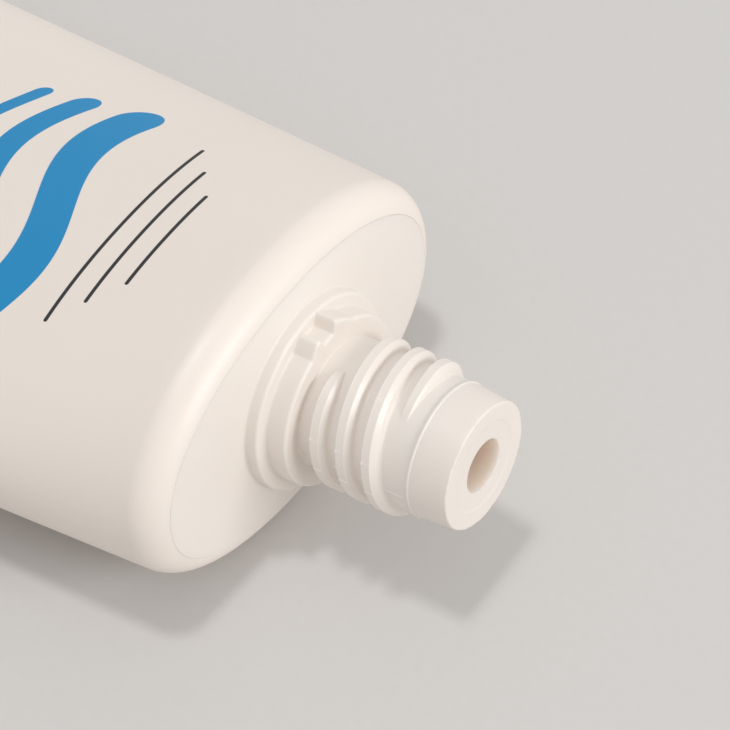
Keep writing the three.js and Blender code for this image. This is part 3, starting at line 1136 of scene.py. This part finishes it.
def nozzle_outline(tube, places, wear):
    head, nozzle = tube.head, tube.nozzle
    base, tip = places.nozzle_base, places.tip
    orifice = nozzle.orifice_diameter / 2
    plug = head.neck_diameter / 2 - head.neck_wall - nozzle.plug_gap
    bore = plug - nozzle.plug_wall
    plug_end = base - nozzle.plug_length
    dish = nozzle.dish_diameter / 2
    soft = nozzle.orifice_round
    step = nozzle.dish_edge
    bead = nozzle.base_diameter / 2
    foot = bead - nozzle.bead_height
    return rounded(
        (tip - nozzle.dish_depth, orifice, soft),
        (tip - step, dish - DISH_SLOPE * step, step),
        (tip, dish + DISH_SLOPE * step, step),
        (tip, nozzle.tip_diameter / 2, nozzle.tip_round + wear * nozzle.tip_wear),
        (base + nozzle.bead_width, foot, nozzle.bead_height / 2),
        (base + nozzle.bead_width - nozzle.bead_height, bead, nozzle.bead_height / 2),
        (base, bead, nozzle.bead_round),
        (base, plug, soft),
        (plug_end, plug, nozzle.plug_wall / 2 - soft),
        (plug_end, bore, soft),
        (base, bore, soft),
        (base, orifice, soft),
        closed=True,
    )


class TUBE_OT_nozzle(bpy.types.Operator):
    """Make the nozzle insert: the stub with the orifice, and its plug in the neck"""

    bl_idname = "tube.nozzle"
    bl_label = "Nozzle insert"

    def execute(self, context):
        tube = context.scene.cosmetic_tube
        nozzle = tube.nozzle
        places = Places()
        turns = even_turns(NOZZLE_COLUMNS)
        outlines = [nozzle_outline(tube, places, tip_wear(turn)) for turn in turns]
        rows = [[ring(at.x, at.y, turn) for at, turn in zip(row, turns)] for row in zip(*outlines)]
        piece = new_skin("nozzle_insert_skin", rows, wrap=True, loop=True)
        mark_orifice(piece, nozzle)
        tidy_mesh(piece.data)
        piece.data.materials.append(moulded_plastic("insert_satin", nozzle.plastic, INSERT_FINISH))
        # The orifice's wall: a brighter, warmer copy of the insert's plastic, painted light in the
        # hole.
        painted_light_material = moulded_plastic("orifice_painted_light_satin", nozzle.orifice_painted_light, ORIFICE_FINISH)
        piece.data.materials.append(painted_light_material)
        hand_over(piece, "insert_plastic", "nozzle_insert")
        return {"FINISHED"}


def make_floor(stage):
    half = stage.floor_size / 2
    corners = [(-half, -half, 0), (half, -half, 0), (half, half, 0), (-half, half, 0)]
    floor = new_object("floor", corners, [(0, 1, 2, 3)])
    material, graph = new_material("floor_paper")
    fibre = graph.noise(*FIBRES)
    tone = stage.floor
    base = graph.blend(fibre, opaque(deeper(tone, FIBRE_DEPTH)), opaque(tone))
    roughness = FLOOR_ROUGHNESS + FLOOR_ROUGHNESS_SPREAD * fibre
    close_surface(graph, base, {"Roughness": roughness, "Specular IOR Level": FLOOR_SPECULAR})
    floor.data.materials.append(material)
    floor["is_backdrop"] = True


def put_up(context, data, place, facing):
    holder = bpy.data.objects.new(data.name, data)
    holder.location = place
    holder.rotation_mode = "QUATERNION"
    holder.rotation_quaternion = facing
    context.scene.collection.objects.link(holder)
    return holder


def make_lights(context, stage):
    key = bpy.data.lights.new("key", "SUN")
    key.energy = math.pi * stage.key
    key.angle = KEY_SPREAD
    side = bpy.data.lights.new("side", "AREA")
    side.shape = "RECTANGLE"
    side.size = SIDE_WIDTH
    side.size_y = SIDE_HEIGHT
    side.energy = stage.side * (math.pi * SIDE_DISTANCE) ** 2
    for lamp, toward in ((key, KEY_FROM), (side, SIDE_FROM)):
        place = Vector(stage.aim) + toward.normalized() * SIDE_DISTANCE
        put_up(context, lamp, place, toward.to_track_quat("Z", "Y"))


def make_world(context, stage):
    world = bpy.data.worlds.new("studio")
    world.use_nodes = True
    context.scene.world = world
    graph = Graph(world.node_tree)
    rays = graph.node("ShaderNodeLightPath", output=None)
    seen = Value(graph, rays.outputs["Is Camera Ray"])
    even = {"Color": opaque(FILL_COLOUR), "Strength": stage.fill}
    fill = graph.node("ShaderNodeBackground", even)
    shown = graph.node("ShaderNodeBackground", {"Color": opaque(SHOWN_WORLD)})
    mixed = graph.node("ShaderNodeMixShader", {0: seen, 1: fill, 2: shown})
    graph.node("ShaderNodeOutputWorld", {"Surface": mixed}, None)


def make_camera(context, stage):
    lens = bpy.data.cameras.new("camera")
    lens.lens = stage.lens
    turn, rise = stage.azimuth, stage.elevation
    level = math.cos(rise)
    toward = Vector((math.sin(turn) * level, -math.cos(turn) * level, math.sin(rise)))
    place = Vector(stage.aim) + toward * stage.distance
    facing = (-toward).to_track_quat("-Z", "Y")
    context.scene.camera = put_up(context, lens, place, facing)


class TUBE_OT_stage(bpy.types.Operator):
    """Make the pale floor, the studio lights and the camera"""

    bl_idname = "tube.stage"
    bl_label = "Stage"

    def execute(self, context):
        stage = context.scene.cosmetic_tube.stage
        make_floor(stage)
        make_lights(context, stage)
        make_world(context, stage)
        make_camera(context, stage)
        context.scene.view_settings.view_transform = "Standard"
        return {"FINISHED"}


class TUBE_PT_panel(bpy.types.Panel):
    """Lists the tube's pieces and its stage"""

    bl_idname = "TUBE_PT_panel"
    bl_label = "Cosmetic tube"
    bl_space_type = "VIEW_3D"
    bl_region_type = "UI"
    bl_category = "Tube"

    def draw(self, context):
        tube = context.scene.cosmetic_tube
        groups = (
            (tube.sleeve, (TUBE_OT_sleeve, TUBE_OT_seal_ribs)),
            (tube.head, (TUBE_OT_head,)),
            (tube.nozzle, (TUBE_OT_nozzle,)),
            (tube.stage, (TUBE_OT_stage,)),
        )
        for settings, operators in groups:
            box = self.layout.box()
            for name in settings.__annotations__:
                box.prop(settings, name)
            for operator in operators:
                box.operator(operator.bl_idname)


CLASSES = (
    TubeSleeveSettings,
    TubeHeadSettings,
    TubeNozzleSettings,
    TubeStageSettings,
    TubeSettings,
    TUBE_OT_sleeve,
    TUBE_OT_seal_ribs,
    TUBE_OT_head,
    TUBE_OT_nozzle,
    TUBE_OT_stage,
    TUBE_PT_panel,
)


def register():
    for item in CLASSES:
        bpy.utils.register_class(item)
    bpy.types.Scene.cosmetic_tube = group(TubeSettings, "Cosmetic tube")


def unregister():
    del bpy.types.Scene.cosmetic_tube
    for item in reversed(CLASSES):
        bpy.utils.unregister_class(item)


def main():
    register()
    bpy.ops.tube.stage()
    bpy.ops.tube.sleeve()
    bpy.ops.tube.seal_ribs()
    bpy.ops.tube.head()
    bpy.ops.tube.nozzle()
    boxes = {"cad": cad_box, "visual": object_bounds()}
    sizes = {name: [list(corner) for corner in box] for name, box in boxes.items()}


if __name__ == "__main__":
    main()
